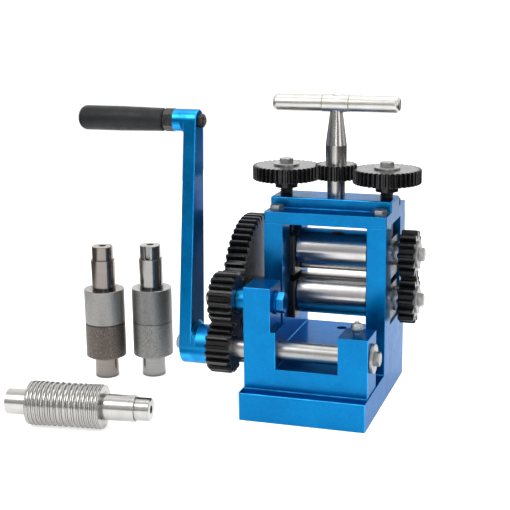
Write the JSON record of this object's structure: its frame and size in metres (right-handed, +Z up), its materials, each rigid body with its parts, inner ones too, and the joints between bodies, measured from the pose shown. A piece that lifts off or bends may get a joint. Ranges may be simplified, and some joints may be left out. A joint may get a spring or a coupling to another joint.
{
  "type": "jewellers rolling mill",
  "caption": "Hand cranked bench rolling mill with geared rolls, a tee handle that sets the roll gap through geared screws, and spare rolls beside it.",
  "frame": {"origin": "centre of the plinth's underside, on the bench", "axes": "+X along the rolls from the crank to the roll gears, +Y from the bracket to the back, +Z up"},
  "size_m": [0.3809, 0.3092, 0.3125],
  "materials": {
    "blue_paint": "glossy metallic blue paint over steel",
    "blue_bolt": "bolt painted over with the bracket",
    "zinc_bolt": "zinc plated, slightly dull",
    "black_oxide": "black oxide, satin",
    "black_gear": "semi-gloss black steel",
    "chrome": "polished nickel",
    "bronze": "sintered bronze, oily",
    "block_steel": "dark milled steel",
    "spring_steel": "drawn spring wire",
    "ground_steel": "ground and polished",
    "key_steel": "bright drawn",
    "grip_plastic": "black, slightly rough",
    "satin_steel": "bright journals, blasted grey barrel",
    "textured_steel": "bright journals, coarse textured barrel",
    "wire_roll_steel": "turned and polished"
  },
  "bodies": {
    "frame": {"plinth": "blue_paint", "left_side_frame": "blue_paint", "right_side_frame": "blue_paint", "front_bracket": "blue_paint", "top_plate": "blue_paint", "top_plate_bolts": "zinc_bolt", "base_screws": "black_oxide", "oiler": "chrome", "idler_stud": "blue_bolt", "idler_washers": "zinc_bolt", "idler_nut": "zinc_bolt", "crank_shaft_bushes": "bronze", "lower_left_bearing_block": "block_steel", "lower_right_bearing_block": "block_steel", "lower_roll_bushes": "bronze"},
    "upper_carriage": {"upper_left_bearing_block": "block_steel", "upper_right_bearing_block": "block_steel", "upper_roll_bushes": "bronze", "lift_springs": "spring_steel"},
    "lower_roll_set": {"lower_roll": "ground_steel", "lower_roll_gear": "black_gear", "drive_gear": "black_gear", "lower_roll_keys": "key_steel", "lower_roll_washers": "zinc_bolt", "lower_roll_bolts": "zinc_bolt"},
    "upper_roll_set": {"upper_roll": "ground_steel", "upper_roll_gear": "black_gear", "upper_roll_key": "key_steel", "upper_roll_washer": "zinc_bolt", "upper_roll_bolt": "zinc_bolt"},
    "crank": {"crank_shaft": "ground_steel", "crank_pinion": "black_gear", "crank_keys": "key_steel", "crank_arm": "blue_paint", "crank_hub_washer": "zinc_bolt", "crank_hub_bolt": "zinc_bolt", "crank_end_washer": "zinc_bolt", "crank_end_bolt": "zinc_bolt", "grip_spindle": "black_oxide", "grip_collar": "black_oxide", "grip_nut": "black_oxide"},
    "idler": {"idler_gear": "black_gear", "idler_bush": "bronze"},
    "grip": {"crank_grip": "grip_plastic"},
    "tee_handle": {"tee_spindle": "chrome", "tee_hub": "chrome", "tee_arms": "chrome", "centre_pinion": "black_gear", "spindle_screw": "black_oxide"},
    "left_screw": {"left_adjusting_screw": "black_oxide", "left_adjusting_gear": "black_gear", "left_screw_washer": "zinc_bolt", "left_screw_bolt": "zinc_bolt"},
    "right_screw": {"right_adjusting_screw": "black_oxide", "right_adjusting_gear": "black_gear", "right_screw_washer": "zinc_bolt", "right_screw_bolt": "zinc_bolt"},
    "satin_roll": {"spare_satin_roll": "satin_steel"},
    "textured_roll": {"spare_textured_roll": "textured_steel"},
    "wire_roll": {"spare_wire_roll": "wire_roll_steel"}
  },
  "joints": [
    {"name": "crank_turn", "type": "hinge", "parent": "frame", "child": "crank", "pos_m": [-0.1, -0.06075, 0.0655], "axis": [1, 0, 0], "continuous": true},
    {"name": "idler_turn", "type": "hinge", "parent": "frame", "child": "idler", "pos_m": [-0.086, -0.05828, 0.11494], "axis": [1, 0, 0], "continuous": true},
    {"name": "lower_roll_turn", "type": "hinge", "parent": "frame", "child": "lower_roll_set", "pos_m": [0, 0.045, 0.099], "axis": [1, 0, 0], "continuous": true},
    {"name": "upper_roll_turn", "type": "hinge", "parent": "upper_carriage", "child": "upper_roll_set", "pos_m": [0, 0.045, 0.148], "axis": [1, 0, 0], "continuous": true},
    {"name": "grip_spin", "type": "hinge", "parent": "crank", "child": "grip", "pos_m": [-0.2, -0.04088, 0.29263], "axis": [1, 0, 0], "continuous": true},
    {"name": "tee_turn", "type": "hinge", "parent": "frame", "child": "tee_handle", "pos_m": [0, 0.045, 0.25], "axis": [0, 0, 1], "range_deg": [0, 1434.53]},
    {"name": "roll_gap", "type": "slide", "parent": "frame", "child": "upper_carriage", "axis": [0, 0, 1], "range_m": [-0.0047, 0], "deforming": ["lift_springs"]},
    {"name": "left_screw_turn", "type": "hinge", "parent": "upper_carriage", "child": "left_screw", "pos_m": [-0.05425, 0.045, 0.2], "axis": [0, 0, 1], "range_deg": [-846, 0]},
    {"name": "right_screw_turn", "type": "hinge", "parent": "upper_carriage", "child": "right_screw", "pos_m": [0.05425, 0.045, 0.2], "axis": [0, 0, 1], "range_deg": [-846, 0]},
    {"name": "satin_roll_lift", "type": "slide", "parent": "frame", "child": "satin_roll", "axis": [0, 0, 1], "range_m": [0, 0.06]},
    {"name": "textured_roll_lift", "type": "slide", "parent": "frame", "child": "textured_roll", "axis": [0, 0, 1], "range_m": [0, 0.06]},
    {"name": "wire_roll_lift", "type": "slide", "parent": "frame", "child": "wire_roll", "axis": [0, 0, 1], "range_m": [0, 0.06]}
  ],
  "couplings": [
    {"joint": "idler_turn", "follows": "crank_turn", "ratio": -1},
    {"joint": "lower_roll_turn", "follows": "crank_turn", "ratio": 0.31034},
    {"joint": "upper_roll_turn", "follows": "crank_turn", "ratio": -0.31034},
    {"joint": "tee_turn", "follows": "roll_gap", "rad_per_m": -5327},
    {"joint": "left_screw_turn", "follows": "roll_gap", "rad_per_m": 3141.6},
    {"joint": "right_screw_turn", "follows": "roll_gap", "rad_per_m": 3141.6}
  ]
}
